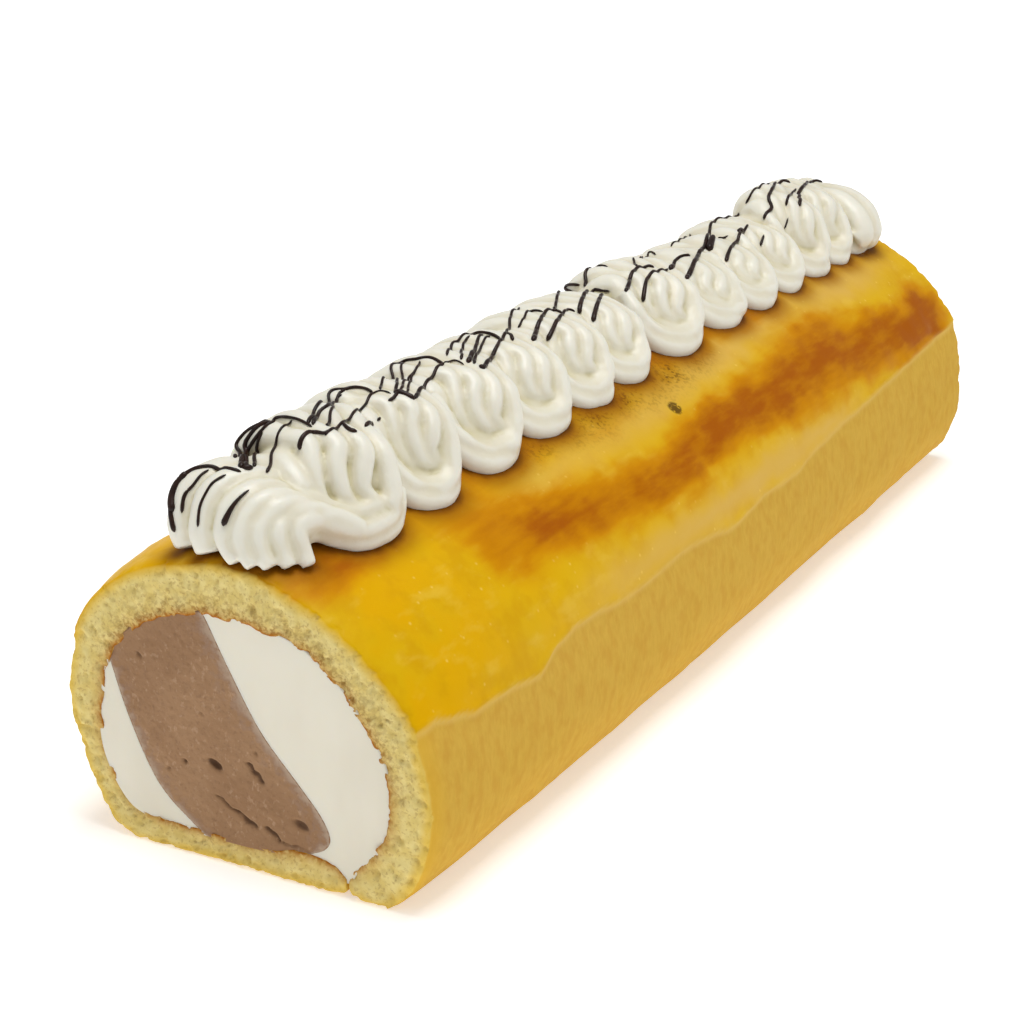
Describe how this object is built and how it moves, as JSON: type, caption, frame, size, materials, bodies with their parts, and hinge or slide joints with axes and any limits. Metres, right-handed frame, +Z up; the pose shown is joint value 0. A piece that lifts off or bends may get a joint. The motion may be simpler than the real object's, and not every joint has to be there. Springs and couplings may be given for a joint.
{
  "type": "swiss roll cake",
  "caption": "Sponge cake roll with a striped cream filling, a strip of frilled piped cream along its top and chocolate drizzle.",
  "frame": {"origin": "on the resting surface, under the middle of the cake's overall box", "axes": "+Z up, +Y along the roll away from the front cut face, +X to the right of someone who faces the front cut"},
  "size_m": [0.0837, 0.2696, 0.081],
  "materials": {
    "sponge": "baked golden skin with a soft shine on top, dry and fibrous lower down, pale open crumb at the cuts",
    "white_filling": "smooth set cream, warm white, satin",
    "brown_filling": "set chocolate cream, matte, fine grain with a few air holes",
    "piped_cream": "whipped cream, ivory white, satin",
    "chocolate": "thin dark chocolate strands, slightly glossy"
  },
  "bodies": {
    "root": {"sponge_sheet": "sponge", "white_cream_near": "white_filling", "brown_cream_band": "brown_filling", "white_cream_far": "white_filling", "piped_cream": "piped_cream"}
  },
  "joints": []
}
